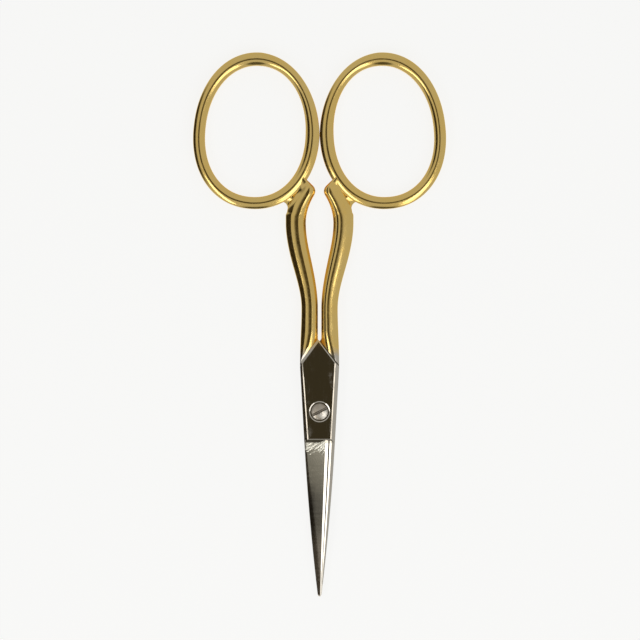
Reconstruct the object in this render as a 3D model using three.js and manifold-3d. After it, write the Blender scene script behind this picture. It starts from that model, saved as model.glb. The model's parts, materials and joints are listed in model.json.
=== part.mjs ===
// Embroidery scissors: two forged halves that cross at a slotted pivot screw.
// Millimetres, +Z up. The closed scissors lie flat, points towards -Y and finger bows towards +Y.
// A half is drawn in its own frame: the pivot axis is Z, the mating face looks down onto the plane
// Z = 0, the blade lies above that plane and the handle stands on the -X side.
// The rear half is the same half turned over about the Y axis.
import * as THREE from "three";
import { LoftGeometry } from "three/addons/geometries/LoftGeometry.js";
import { mergeVertices } from "three/addons/utils/BufferGeometryUtils.js";
import Module from "manifold-3d";

// Clearances
const lapGap = 0.1; // between the two mating faces
const runningClearance = 0.05; // round the screw's shank and under its head
const stepClearance = 0.15; // between a plate's edge and the step in the other handle
const bowGap = 0.1; // between the two bows when closed
const seamGap = 0.02; // plating line of one forging: the gilt handle to its own nickel plate
const headClearance = 0.21; // round the screw's head

// Pivot screw
const screwShankDiameter = 2;
const screwHeadDiameter = 2.9;
const screwHeadHeight = 0.5; // straight side of the head
const screwHeadDome = 0.16;
const screwTailRecess = 0.05; // tail end below the rear plate's face
const slotWidth = 0.48;
const slotDepth = 0.5;
const slotAngleDeg = 27;
const counterboreFlare = 0.17; // chamfer round the counterbore's mouth: plan width
const counterboreFlareDrop = 0.055;

// Pivot plate, reaches measured from the pivot along Y
const plateThickness = 1.5;
const apexReach = 12.7;
const spineShoulderReach = 7.85;
const handleShoulderReach = 8.5;
const shoulderHalfWidth = 3.42;
const heelReach = 5.4; // pivot to the heel, where the ground blade begins
const heelHalfWidth = 2.67;
const heelSetIn = 0.25; // the plate is narrower than the blade by this much on the cutting side

// Edges of the plate: each falls by a bevel and then a chamfer, both given as plan width and drop
const spineBevelWidth = 0.18;
const spineBevelDrop = 0.03;
const spineChamferWidth = 0.65;
const spineChamferDrop = 0.58;
const cuttingBevelWidth = 0.18; // on the side of the cutting edge
const cuttingBevelDrop = 0.05;
const cuttingChamferWidth = 0.33;
const cuttingChamferDrop = 0.21;
const crossingBevelWidth = 0.18; // along the edge that lies over the other handle
const crossingBevelDrop = 0.1;
const crossingChamferWidth = 0.05;
const crossingChamferDrop = 0.3;
const grooveBevelWidth = 0.4; // along its own handle
const grooveBevelDrop = 0.23;
const grooveChamferWidth = 0.02;
const grooveChamferDrop = 0.3;
const heelBevelWidth = 0.1; // at the end of the plate, above the ground blade
const heelBevelDrop = 0.03;
const heelChamferWidth = 0.55;
const heelChamferDrop = 0.4;

// Groove between the handle and the plate
const grooveDepth = 0.28;
const grooveSlopeDeg = 20; // slope of the facet that ends the handle

// Blade
const tipReach = 32.3;
const tipHalfWidth = 0.3; // before the tip is rounded
const tipRound = 0.5; // length of the rounded end
const tipEnd = 0.3; // share of the width that is left at the very end
const bladeBelly = 0.21; // how far the outline bulges past a straight taper
const tipThickness = 0.3;
const thicknessBelly = 0.2; // how much thicker the middle is than a straight taper
const edgeThickness = 0.07;
const edgeBevelWidth = 0.3; // the ground face grows steeper this near the cutting edge, at the heel
const edgeBevelTip = 0.15; // the same at the tip
const edgeBevelBelly = 0.75; // how much wider it gets between them
const edgeBevelDeg = 32; // slope at the cutting edge
const edgeCover = 0.1; // how far the spine reaches past the other blade's edge
const backWidth = 1.65; // ridge to spine at the heel
const tipBackWidth = 0.22;
const backBelly = 0.25;
const ridgeDrop = 0.08; // ridge of the blade below the plate's face
const landShare = 0.3; // shares of the back: land, narrow terrace, and the rest bevel and chamfer
const terraceShare = 0.15;
const bevelShare = 0.2;
const landFall = 0.08; // height the land falls from the ridge at the heel
const backBevelDrop = 0.055;
const backChamferDrop = 0.46;
const hollowDepth = 0.12; // hollow in the mating face of the blade
const bladeOverlap = 0.8; // how far the blade's root runs into the plate

// Finger bow
const bowReach = 48.95; // pivot to the middle of the finger hole
const fingerWidth = 17.5;
const fingerLength = 22.94;
const bowWallOutside = 2.08;
const bowWallInside = 2.45; // on the side of the other bow
const bowWallTop = 2.32;
const bowWallBottom = 2.1;
const bowWallEase = 0.4; // how much thinner the wall is between its top and the other bow
const bowThickness = 2.4;
const bowLeanDeg = 4.1; // the top of each bow leans towards the other bow
const bowSquareness = 2.13; // exponent of the finger hole's superellipse, 2 is an ellipse
const bowEgg = 0.04; // share by which a finger hole is narrower at the top and wider at the bottom
const bowCore = 0.5; // middle of the bow's wall, where its section is highest

// Sides of the bows' and shanks' sections: they fall from the crest to an upright band. Slopes are in
// degrees, and places are shares of the side's width.
const outerEdgeSlope = 34; // at the band, outside
const bowInnerSlope = 45; // at the band, inside a bow
const shoulderPlace = 0.5; // outside a shank: a low dome, then a shoulder and a flank
const shoulderSlope = 13;
const flankPlace = 0.6;
const flankSlope = 25;
const roundPlace = 0.36; // inside a shank: a round that ends in an even slope
const roundSlope = 21.5;
const innerFlankPlace = 0.7;
const innerFlankSlope = 44;
const innerEdgeSlope = 45;
const deepestFall = 0.72; // most that a wide side falls, as a share of the half height

// Shank between the plate and the bow
const neckReach = 18; // pivot to the narrowest place
const neckWidth = 2.86;
const neckOffset = 1.735; // middle of the neck to the middle plane of the scissors
const bellyWidth = 3.52;
const bellyOffset = 4.16;
const bellyDrop = 2.45; // widest place of the shank, below the bottom of the bow
const widthLead = 4.8; // the width is reached this far before the belly
const shankThickness = 2.9;
const rootShare = 0.8; // share of the thickness that is left where the shank meets the bow
const rootStart = 1.03; // that place, as the scale of an ellipse that fits the outside of the bow
const rootLead = 1.13; // where the shank begins to thin, on the same scale
const crestShift = 0.2; // ridge of the shank towards the inside, as a share of its half width
const crestKnobShift = 0.42; // the same at the knob
const crestEndShift = -0.45; // the same at the plate, where the ridge runs to the outside
const crestEndReach = 14.5; // pivot to where the ridge begins to turn outwards
const knobRise = 3.32; // point of the knob above the bottom of the bow, before it is rounded
const knobOffset = 0.36; // that point to the middle plane
const knobFlank = 1.05; // run of the knob's upper flank per unit of height
const knobRound = 1.6;
const knobTop = 2.3; // how far the shank runs on above the knob, inside the bow
const relief = 0.2; // the outside of the shank steps in by this much under the bow
const reliefDrop = 1.1; // where the step begins, below the bottom of the bow
const reliefLength = 0.6;
const outsideTurn = 1.9; // how far the outside turns towards the knob on its way into the bow
const outsideTurnDrop = 1; // where that begins, below the bottom of the bow
const stockLength = 0.6; // the shank's stock begins this far below the plate's shoulders

// Web in the corner between the outside of the shank and the bow
const webRise = 1.38; // its corner, above the bottom of the bow
const webSetOut = 0.4; // its corner, outside the shank
const webRun = 1.65; // how far it runs along the bow
const webDepth = 1.8; // how far it reaches into the bow and the shank
const webEdge = 0.12; // half of its thickness at the edge
const webRoot = 0.74; // half of its thickness where it has run in
const webLeanDeg = 42; // it runs in upwards, leaning towards the other half by this much

// Facets
const bowSteps = 64;
const sectionSteps = 5; // in each side of a section
const outlineSteps = 64;
const roundSteps = 32;
const domeSteps = 5;
const bladeSteps = 14;
const tipSteps = 3;
const neckSteps = 5;
const shankSteps = 10;
const knobSteps = 18;
const webSteps = 4;
const slopeStep = 0.01; // radians, for the direction of a curve
const peakScale = 27 / 4; // brings the highest value of s * s * (1 - s) to 1

const wasm = await Module();
wasm.setup();

const { lerp, smoothstep, degToRad } = THREE.MathUtils;
const vec = (x, y, z) => new THREE.Vector3(x, y, z);
const matingPlane = lapGap / 2;
const plateTop = matingPlane + plateThickness;
const counterboreRadius = screwHeadDiameter / 2 + headClearance;
const cutReach = 2 * apexReach; // cutting bodies reach this far, well past what they cut

function solid(geometry) {
  const bare = geometry.index ? geometry.toNonIndexed() : geometry.clone();
  bare.deleteAttribute("normal");
  bare.deleteAttribute("uv");
  const merged = mergeVertices(bare);
  return new wasm.Manifold(
    new wasm.Mesh({
      numProp: 3,
      vertProperties: merged.attributes.position.array,
      triVerts: new Uint32Array(merged.index.array),
    }),
  );
}

function meshOf(name, body, material) {
  const { vertProperties, triVerts } = body.getMesh();
  const geometry = new THREE.BufferGeometry();
  geometry.setAttribute("position", new THREE.BufferAttribute(vertProperties, 3));
  geometry.setIndex(new THREE.BufferAttribute(triVerts, 1));
  const mesh = new THREE.Mesh(geometry.toNonIndexed(), material);
  mesh.geometry.computeVertexNormals();
  mesh.name = name;
  return mesh;
}

function cylinder(radius, bottom, top, topRadius = radius) {
  const geometry = new THREE.CylinderGeometry(topRadius, radius, top - bottom, roundSteps);
  geometry.rotateX(Math.PI / 2);
  geometry.translate(0, 0, (bottom + top) / 2);
  return solid(geometry);
}

function prism(points, bottom, top) {
  const geometry = new THREE.ExtrudeGeometry(new THREE.Shape(points), {
    depth: top - bottom,
    bevelEnabled: false,
  });
  geometry.translate(0, 0, bottom);
  return solid(geometry);
}

// Power of a sine or cosine that keeps its sign, for superellipses.
const shaped = (value, squareness) => Math.sign(value) * Math.abs(value) ** (2 / squareness);

const evenSteps = (from, to, count) =>
  Array.from({ length: count + 1 }, (_, i) => lerp(from, to, i / count));

const level = [0, 0];
const bowOutside = [level, [1, outerEdgeSlope]];
const bowInside = [level, [1, bowInnerSlope]];
const shankOutside = [level, [shoulderPlace, shoulderSlope], [flankPlace, flankSlope], [1, outerEdgeSlope]];
const shankInside = [
  level,
  [roundPlace, roundSlope],
  [innerFlankPlace, innerFlankSlope],
  [1, innerEdgeSlope],
];

// How far a side has fallen at a share of its width, for a width of 1.
function fallAt(slopes, share) {
  let fall = 0;
  for (let i = 1; i < slopes.length; i += 1) {
    const [from, startDeg] = slopes[i - 1];
    const [to, endDeg] = slopes[i];
    const run = THREE.MathUtils.clamp((share - from) / (to - from), 0, 1);
    const start = Math.tan(degToRad(startDeg));
    const end = Math.tan(degToRad(endDeg));
    fall += (to - from) * (start * run + ((end - start) * run * run) / 2);
  }
  return fall;
}

// Side of a section from the crest to the edge, as [distance from the crest, height].
function sideOf(width, halfHeight, slopes) {
  const flatten = Math.min(1, (deepestFall * halfHeight) / (width * fallAt(slopes, 1)));
  return evenSteps(0, 1, sectionSteps).map((share) => [
    width * share,
    halfHeight - flatten * width * fallAt(slopes, share),
  ]);
}

// Section from the inside over the top and back below, as [distance outwards, height].
function sectionOf(innerSide, outerSide) {
  const inside = innerSide.map(([across, height]) => [-across, height]).reverse();
  const upper = [...inside, ...outerSide.slice(1)];
  const lower = upper.map(([out, height]) => [out, -height]).reverse();
  return [...upper, ...lower];
}

// Finger bow
function fingerEdge(angle) {
  const across = shaped(Math.cos(angle), bowSquareness);
  const along = shaped(Math.sin(angle), bowSquareness);
  const x = (fingerWidth / 2) * across * (1 - bowEgg * along);
  const point = new THREE.Vector2(x, (fingerLength / 2) * along);
  return point.rotateAround(new THREE.Vector2(), -degToRad(bowLeanDeg));
}

// Point of the bow's wall: 0 lies on the finger hole and 1 on the outside of the bow.
function bowPoint(angle, depth) {
  const ahead = fingerEdge(angle + slopeStep).sub(fingerEdge(angle - slopeStep)).normalize();
  const outwards = new THREE.Vector2(ahead.y, -ahead.x);
  const sideWall = Math.cos(angle) > 0 ? bowWallInside : bowWallOutside;
  const endWall = Math.sin(angle) > 0 ? bowWallTop : bowWallBottom;
  const nearTop = Math.cos(angle) > 0 ? Math.max(Math.sin(2 * angle), 0) : 0;
  const wall = lerp(sideWall, endWall, Math.sin(angle) ** 2) - bowWallEase * nearTop;
  return fingerEdge(angle).addScaledVector(outwards, wall * depth);
}

const bowAngles = evenSteps(0, 2 * Math.PI, bowSteps);
const bowOutline = bowAngles.map((angle) => bowPoint(angle, 1));
const bowCentre = new THREE.Vector2(
  -bowGap / 2 - Math.max(...bowOutline.map((point) => point.x)),
  bowReach,
);
const bowBottom = bowReach + Math.min(...bowOutline.map((point) => point.y));

function bowBody() {
  const sections = bowAngles.map((angle) => {
    const inside = bowPoint(angle, 0).add(bowCentre);
    const outside = bowPoint(angle, 1).add(bowCentre);
    const middle = inside.clone().lerp(outside, bowCore);
    const innerWidth = middle.distanceTo(inside);
    const outerWidth = middle.distanceTo(outside);
    const outwards = outside.sub(middle).normalize();
    const innerSide = sideOf(innerWidth, bowThickness / 2, bowInside);
    const outerSide = sideOf(outerWidth, bowThickness / 2, bowOutside);
    return sectionOf(innerSide, outerSide).map(([out, height]) =>
      vec(middle.x + outwards.x * out, middle.y + outwards.y * out, height),
    );
  });
  sections[bowSteps] = sections[0];
  return solid(new LoftGeometry(sections));
}

function insideOfBow() {
  const ring = evenSteps(0, 2 * Math.PI, outlineSteps).slice(0, outlineSteps);
  return prism(
    ring.map((angle) => bowPoint(angle, bowCore).add(bowCentre)),
    -cutReach,
    cutReach,
  );
}

// Shank
const bellyReach = bowBottom - bellyDrop;
const knobReach = bowBottom + knobRise;

function roundedLeast(a, b, round) {
  const near = Math.max(round - Math.abs(a - b), 0) / round;
  return Math.min(a, b) - (near * near * round) / 4;
}

function shankEdges(y) {
  const along = smoothstep(y, neckReach, bellyReach);
  const middle = -lerp(neckOffset, bellyOffset, along);
  const widen = smoothstep(y, neckReach, bellyReach - widthLead);
  const halfWidth = lerp(neckWidth, bellyWidth, widen) / 2;
  const rise = Math.max(y - bellyReach, 0) / (knobReach - bellyReach);
  const towardsKnob = lerp(middle + halfWidth, -knobOffset, rise * rise);
  const flank = -knobOffset - (y - knobReach) * knobFlank;
  const reliefReach = bowBottom - reliefDrop;
  const turning = smoothstep(y, bowBottom - outsideTurnDrop, knobReach + knobTop);
  const outside =
    middle -
    halfWidth +
    relief * smoothstep(y, reliefReach, reliefReach + reliefLength) +
    outsideTurn * turning;
  return {
    outside: lerp(-shoulderHalfWidth, outside, smoothstep(y, handleShoulderReach, neckReach)),
    inside: roundedLeast(towardsKnob, flank, knobRound),
  };
}

// Share of the shank's thickness at a place: it thins towards the bow.
function thicknessShare(x, y) {
  const place = new THREE.Vector2(x, y).sub(bowCentre);
  place.rotateAround(new THREE.Vector2(), degToRad(bowLeanDeg));
  const across = place.x / (fingerWidth / 2 + bowWallInside);
  const along = place.y / (fingerLength / 2 + bowWallBottom);
  return lerp(rootShare, 1, smoothstep(Math.hypot(across, along), rootStart, rootLead));
}

function shankSection(y) {
  const { outside, inside } = shankEdges(y);
  const halfWidth = (inside - outside) / 2;
  const shift =
    lerp(crestEndShift, crestShift, smoothstep(y, handleShoulderReach, crestEndReach)) +
    lerp(0, crestKnobShift - crestShift, smoothstep(y, bellyReach, knobReach));
  const crest = (inside + outside) / 2 + shift * halfWidth;
  const innerSide = sideOf(inside - crest, shankThickness / 2, shankInside);
  const outerSide = sideOf(crest - outside, shankThickness / 2, shankOutside);
  return sectionOf(innerSide, outerSide).map(([out, height]) =>
    vec(crest - out, y, height * thicknessShare(crest - out, y)),
  );
}

function shankBody() {
  const stockStart = Math.min(spineShoulderReach, handleShoulderReach) - stockLength;
  const stations = [
    ...evenSteps(knobReach + knobTop, bellyReach, knobSteps),
    ...evenSteps(bellyReach, neckReach, shankSteps).slice(1),
    ...evenSteps(neckReach, stockStart, neckSteps).slice(1),
  ];
  return solid(new LoftGeometry(stations.map(shankSection), { capStart: true, capEnd: true }));
}

// Web: its edge is a hollow curve from the shank to the bow, and its faces are domed.
function webBody() {
  const corner = vec(shankEdges(bowBottom + webRise).outside - webSetOut, bowBottom + webRise, 0);
  const onBow = vec(corner.x - webRun, corner.y, 0);
  const onShank = vec(corner.x, bowBottom, 0);
  const edge = new THREE.QuadraticBezierCurve3(onShank, corner, onBow);
  const lean = degToRad(webLeanDeg);
  const inwards = vec(Math.sin(lean), Math.cos(lean), 0);
  const sections = edge.getPoints(webSteps).map((point) => {
    const upper = evenSteps(0, 1, webSteps).map((share) => {
      const height = lerp(webEdge, webRoot, share * (2 - share));
      return point.clone().addScaledVector(inwards, share * webDepth).setZ(height);
    });
    const lower = upper.map(({ x, y, z }) => vec(x, y, -z)).reverse();
    return [...upper, ...lower];
  });
  return solid(new LoftGeometry(sections, { capStart: true, capEnd: true }));
}

// Pivot plate: its outline runs counterclockwise from the heel's spine corner.
// Its apex is in line with the inside of the neck.
const plateCorners = [
  [heelHalfWidth, -heelReach],
  [shoulderHalfWidth, spineShoulderReach],
  [neckWidth / 2 - neckOffset, apexReach],
  [-shoulderHalfWidth, handleShoulderReach],
  [-heelHalfWidth + heelSetIn, -heelReach],
].map(([x, y]) => new THREE.Vector2(x, y));

// Moves each edge of the outline inwards by its own amount; edge i starts at corner i.
function insetOutline(corners, insets) {
  const lines = corners.map((corner, i) => {
    const along = corners[(i + 1) % corners.length].clone().sub(corner).normalize();
    const inwards = new THREE.Vector2(-along.y, along.x);
    return { inwards, distance: inwards.dot(corner) + insets[i] };
  });
  return lines.map((line, i) => {
    const before = lines[(i + lines.length - 1) % lines.length];
    const cross = before.inwards.cross(line.inwards);
    return new THREE.Vector2(
      (before.distance * line.inwards.y - line.distance * before.inwards.y) / cross,
      (line.distance * before.inwards.x - before.distance * line.inwards.x) / cross,
    );
  });
}

// Inset of an edge's profile at a height.
function insetAt(profile, height) {
  const above = Math.max(profile.findIndex((corner) => corner[1] >= height), 1);
  const [lowInset, low] = profile[above - 1];
  const [highInset, high] = profile[above];
  return lerp(lowInset, highInset, (height - low) / (high - low));
}

function plateBody() {
  // Profiles of the edges in the corners' order, as [inset, height] from the foot up.
  const profiles = [
    [spineBevelWidth, spineBevelDrop, spineChamferWidth, spineChamferDrop],
    [crossingBevelWidth, crossingBevelDrop, crossingChamferWidth, crossingChamferDrop],
    [grooveBevelWidth, grooveBevelDrop, grooveChamferWidth, grooveChamferDrop],
    [cuttingBevelWidth, cuttingBevelDrop, cuttingChamferWidth, cuttingChamferDrop],
    [heelBevelWidth, heelBevelDrop, heelChamferWidth, heelChamferDrop],
  ].map(([bevelWidth, bevelDrop, chamferWidth, chamferDrop]) => [
    [0, matingPlane],
    [0, plateTop - bevelDrop - chamferDrop],
    [chamferWidth, plateTop - bevelDrop],
    [chamferWidth + bevelWidth, plateTop],
  ]);
  const heights = [...new Set(profiles.flatMap((profile) => profile.map((corner) => corner[1])))];
  const sections = heights
    .sort((a, b) => a - b)
    .map((height) => {
      const insets = profiles.map((profile) => insetAt(profile, height));
      return insetOutline(plateCorners, insets).map((corner) => vec(corner.x, corner.y, height));
    });
  return solid(new LoftGeometry(sections, { capStart: true, capEnd: true }));
}

// Ground blade
function bladeSection(y) {
  const along = THREE.MathUtils.clamp((-y - heelReach) / (tipReach - heelReach), 0, 1);
  const bulge = 4 * along * (1 - along);
  const spine = lerp(heelHalfWidth, tipHalfWidth, along) + bladeBelly * bulge;
  const edge = -spine + edgeCover * (1 - along);
  const back = lerp(backWidth, tipBackWidth, along) + backBelly * bulge;
  const thickness = lerp(plateThickness, tipThickness, along) + thicknessBelly * bulge;
  const slim = thickness / plateThickness;
  const ridgeTop = matingPlane + thickness - ridgeDrop * slim;
  const terraceTop = ridgeTop - landFall * slim;
  const bevelFoot = terraceTop - backBevelDrop * slim;
  const chamferFoot = bevelFoot - backChamferDrop * slim;
  const terrace = spine - back * (1 - landShare);
  const bevel = terrace + back * terraceShare;
  const swell = along ** 2 * (1 - along) * peakScale;
  const edgeBevel = lerp(edgeBevelWidth, edgeBevelTip, along) + edgeBevelBelly * swell;
  const edgeTop = matingPlane + edgeThickness;
  const edgeSlope = Math.tan(degToRad(edgeBevelDeg));
  const groundWidth = spine - back - edge;
  const groundSlope =
    (ridgeTop - edgeTop - (edgeBevel * edgeSlope) / 2) / (groundWidth - edgeBevel / 2);
  const fromTip = THREE.MathUtils.clamp((tipReach + y) / tipRound, 0, 1);
  const rounding = lerp(tipEnd, 1, Math.sqrt(1 - (1 - fromTip) ** 2));
  return [
    [edge, matingPlane],
    [edge, edgeTop],
    [edge + edgeBevel, edgeTop + (edgeBevel * (edgeSlope + groundSlope)) / 2],
    [spine - back, ridgeTop],
    [terrace, terraceTop],
    [bevel, terraceTop],
    [bevel + back * bevelShare, bevelFoot],
    [spine, chamferFoot],
    [spine, matingPlane],
    [(edge + spine) / 2, matingPlane + hollowDepth * slim],
  ].map(([x, height]) => vec(x * rounding, y, height));
}

function bladeBody() {
  const stations = [
    ...evenSteps(-tipReach, -tipReach + tipRound, tipSteps),
    ...evenSteps(-tipReach + tipRound, -heelReach + bladeOverlap, bladeSteps).slice(1),
  ];
  return solid(new LoftGeometry(stations.map(bladeSection), { capStart: true, capEnd: true }));
}

// Bodies that separate the handle from its own plate and from the other half
function grooveCut() {
  const [, , apex, shoulder] = plateCorners;
  const along = shoulder.clone().sub(apex).normalize();
  const towardsPlate = new THREE.Vector2(-along.y, along.x);
  const floor = plateTop - grooveDepth;
  const lean = cutReach / Math.tan(degToRad(grooveSlopeDeg));
  const profile = [
    [-seamGap, matingPlane - seamGap],
    [cutReach, matingPlane - seamGap],
    [cutReach, floor + cutReach],
    [-seamGap - lean, floor + cutReach],
    [-seamGap, floor],
  ].map(([across, height]) => new THREE.Vector2(across, height));
  const geometry = new THREE.ExtrudeGeometry(new THREE.Shape(profile), {
    depth: 2 * cutReach,
    bevelEnabled: false,
  });
  geometry.translate(0, 0, -cutReach);
  const frame = new THREE.Matrix4().makeBasis(
    vec(towardsPlate.x, towardsPlate.y, 0),
    vec(0, 0, 1),
    vec(towardsPlate.y, -towardsPlate.x, 0),
  );
  frame.setPosition(apex.x, apex.y, 0);
  return solid(geometry.applyMatrix4(frame));
}

function otherPlateCut() {
  const grown = insetOutline(
    plateCorners,
    plateCorners.map(() => -stepClearance),
  );
  const mirrored = grown.map((corner) => new THREE.Vector2(-corner.x, corner.y)).reverse();
  return prism(mirrored, -cutReach, matingPlane);
}

const handleBody = shankBody()
  .add(webBody())
  .subtract(insideOfBow())
  .subtract(grooveCut())
  .subtract(otherPlateCut())
  .add(bowBody());

const halfBlade = plateBody().add(bladeBody());
const boreRadius = screwShankDiameter / 2 + runningClearance;
const bore = cylinder(boreRadius, -cutReach, cutReach);
const counterboreFloor = plateTop - screwHeadHeight - runningClearance;
const counterbore = cylinder(counterboreRadius, counterboreFloor, cutReach).add(
  cylinder(
    counterboreRadius,
    plateTop - counterboreFlareDrop,
    plateTop + counterboreFlareDrop,
    counterboreRadius + 2 * counterboreFlare,
  ),
);

// Pivot screw: a domed slotted head, a bearing shank and its tail in the rear plate
function screwBody() {
  const headRadius = screwHeadDiameter / 2;
  const shankRadius = screwShankDiameter / 2;
  const headFoot = plateTop - screwHeadHeight;
  const domeRadius = (headRadius ** 2 + screwHeadDome ** 2) / (2 * screwHeadDome);
  const dome = evenSteps(headRadius, 0, domeSteps).map((radius) => {
    const drop = domeRadius - Math.sqrt(domeRadius ** 2 - radius ** 2);
    return [radius, plateTop + screwHeadDome - drop];
  });
  const profile = [
    [0, -plateTop + screwTailRecess],
    [shankRadius, -plateTop + screwTailRecess],
    [shankRadius, headFoot],
    [headRadius, headFoot],
    ...dome,
  ].map(([radius, height]) => new THREE.Vector2(radius, height));
  const geometry = new THREE.LatheGeometry(profile, roundSteps);
  geometry.rotateX(Math.PI / 2);
  const slot = new THREE.BoxGeometry(2 * screwHeadDiameter, slotWidth, 2 * slotDepth);
  slot.rotateZ(degToRad(slotAngleDeg));
  slot.translate(0, 0, plateTop + screwHeadDome);
  return solid(geometry).subtract(solid(slot));
}

const gilt = () => new THREE.MeshStandardMaterial({ color: 0xd4ab58, metalness: 1, roughness: 0.22 });
const nickel = () => new THREE.MeshStandardMaterial({ color: 0xb9b4a8, metalness: 1, roughness: 0.18 });
const steel = () => new THREE.MeshStandardMaterial({ color: 0xa9a294, metalness: 1, roughness: 0.3 });

const frontHalf = new THREE.Group();
frontHalf.add(meshOf("front_handle", handleBody, gilt()));
frontHalf.add(meshOf("front_blade", halfBlade.subtract(bore).subtract(counterbore), nickel()));

const rearHalf = new THREE.Group();
rearHalf.add(meshOf("rear_handle", handleBody, gilt()));
rearHalf.add(meshOf("rear_blade", halfBlade.subtract(bore), nickel()));
rearHalf.rotation.y = Math.PI;

const assembly = new THREE.Group();
assembly.add(frontHalf, rearHalf, meshOf("pivot_screw", screwBody(), steel()));

// The part's origin is under the middle of its length, on the surface it lies on.
const extent = new THREE.Box3().setFromObject(assembly);
assembly.position.set(
  -(extent.min.x + extent.max.x) / 2,
  -(extent.min.y + extent.max.y) / 2,
  -extent.min.z,
);

const scissors = new THREE.Group();
scissors.add(assembly);

export default scissors;
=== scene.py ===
import json
import math

import bpy
import numpy as np
from mathutils import Matrix, Vector


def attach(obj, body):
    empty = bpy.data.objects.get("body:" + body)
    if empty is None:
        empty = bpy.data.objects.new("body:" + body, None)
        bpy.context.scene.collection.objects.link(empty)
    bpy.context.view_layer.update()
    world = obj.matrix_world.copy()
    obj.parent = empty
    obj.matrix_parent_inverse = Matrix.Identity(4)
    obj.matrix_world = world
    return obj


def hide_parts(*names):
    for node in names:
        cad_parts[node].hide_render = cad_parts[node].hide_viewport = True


# Embroidery scissors on a pale floor. Shapes are worked out in millimetres in the frame of one half:
# the pivot axis is Z, the mating face looks down onto Z = 0, the blade lies above that plane and
# points towards -Y, and the handle stands on the -X side. The rear half is turned over about Y.

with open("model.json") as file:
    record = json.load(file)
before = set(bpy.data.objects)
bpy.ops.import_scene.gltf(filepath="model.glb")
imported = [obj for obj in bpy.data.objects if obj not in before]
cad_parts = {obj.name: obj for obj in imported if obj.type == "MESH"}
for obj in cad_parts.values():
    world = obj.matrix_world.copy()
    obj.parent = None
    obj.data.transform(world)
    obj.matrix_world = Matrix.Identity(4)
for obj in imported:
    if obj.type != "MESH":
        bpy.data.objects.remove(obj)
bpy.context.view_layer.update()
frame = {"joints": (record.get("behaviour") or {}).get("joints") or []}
pivot = Vector(frame["joints"][0]["pos_m"])

MM = 0.001

# Clearances
LAP_GAP = 0.1  # between the two mating faces
RUNNING_CLEARANCE = 0.05  # round the screw's shank and under its head
STEP_CLEARANCE = 0.15  # between a plate's edge and the step in the other handle
BOW_GAP = 0.02  # between the two bows when closed
SEAM_GAP = 0.02  # at the plating line, between a gilt handle and its own plate
HEAD_CLEARANCE = 0.21  # round the screw's head

# Pivot screw
SCREW_SHANK_DIAMETER = 2.0
SCREW_HEAD_DIAMETER = 2.9
SCREW_HEAD_HEIGHT = 0.5  # foot of the head below the plate's face
SCREW_HEAD_DOME = 0.16  # top of the head above the plate's face
SCREW_HEAD_CROWN = 0.28  # fall from the top of the head to its edge
SCREW_TAIL_RECESS = 0.05  # tail end below the rear plate's face
SLOT_WIDTH = 0.48
SLOT_DEPTH = 0.5
SLOT_TAPER = 0.06  # each side leans out by this much over the slot's depth
SLOT_ANGLE_DEG = 27.0
COUNTERBORE_FLARE = 0.17  # chamfer round the counterbore's mouth: plan width
COUNTERBORE_FLARE_DROP = 0.055

# Pivot plate, reaches measured from the pivot along Y
PLATE_THICKNESS = 1.5
APEX_REACH = 12.7
SPINE_SHOULDER_REACH = 7.85
HANDLE_SHOULDER_REACH = 8.5
SHOULDER_HALF_WIDTH = 3.42
HEEL_REACH = 5.4  # pivot to the heel, where the ground blade begins
HEEL_HALF_WIDTH = 2.67
HEEL_SET_IN = 0.25  # the plate is narrower than the blade by this much on the cutting side

# Edges of the plate: each falls by a bevel and then a chamfer, both given as plan width and drop
SPINE_BEVEL = (0.18, 0.03)
SPINE_CHAMFER = (0.65, 0.58)
CUTTING_BEVEL = (0.18, 0.05)  # on the side of the cutting edge
CUTTING_CHAMFER = (0.33, 0.21)
CROSSING_BEVEL = (0.18, 0.1)  # along the edge that lies over the other handle
CROSSING_CHAMFER = (0.05, 0.3)
GROOVE_BEVEL = (0.4, 0.23)  # along its own handle
GROOVE_CHAMFER = (0.02, 0.3)
HEEL_BEVEL = (0.1, 0.03)  # at the end of the plate, above the ground blade
HEEL_CHAMFER = (0.55, 0.4)

# Groove between the handle and the plate
GROOVE_DEPTH = 0.28
GROOVE_SLOPE_DEG = 20.0  # slope of the facet that ends the handle

# Blade
TIP_REACH = 32.3
TIP_HALF_WIDTH = 0.3  # before the tip is rounded
TIP_ROUND = 0.5  # length of the rounded end
TIP_END = 0.3  # share of the width that is left at the very end
BLADE_BELLY = 0.21  # how far the outline bulges past a straight taper
TIP_THICKNESS = 0.3
THICKNESS_BELLY = 0.2  # how much thicker the middle is than a straight taper
EDGE_THICKNESS = 0.07
EDGE_BEVEL_WIDTH = 0.3  # the ground face grows steeper this near the cutting edge, at the heel
EDGE_BEVEL_TIP = 0.15  # the same at the tip
EDGE_BEVEL_BELLY = 0.75  # how much wider it gets between them
EDGE_BEVEL_DEG = 32.0  # slope at the cutting edge
EDGE_COVER = 0.1  # how far the spine reaches past the other blade's edge
BACK_WIDTH = 1.65  # ridge to spine at the heel
TIP_BACK_WIDTH = 0.22
BACK_BELLY = 0.25
RIDGE_DROP = 0.08  # ridge of the blade below the plate's face
LAND_SHARE = 0.3  # shares of the back: land, narrow terrace and bevel; the chamfer takes the rest
TERRACE_SHARE = 0.15
BEVEL_SHARE = 0.2
LAND_FALL = 0.08  # height the land falls from the ridge at the heel
BACK_BEVEL_DROP = 0.055
BACK_CHAMFER_DROP = 0.46
HOLLOW_DEPTH = 0.12  # hollow in the mating face of the blade
BLADE_OVERLAP = 0.8  # how far the blade's root runs into the plate

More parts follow.
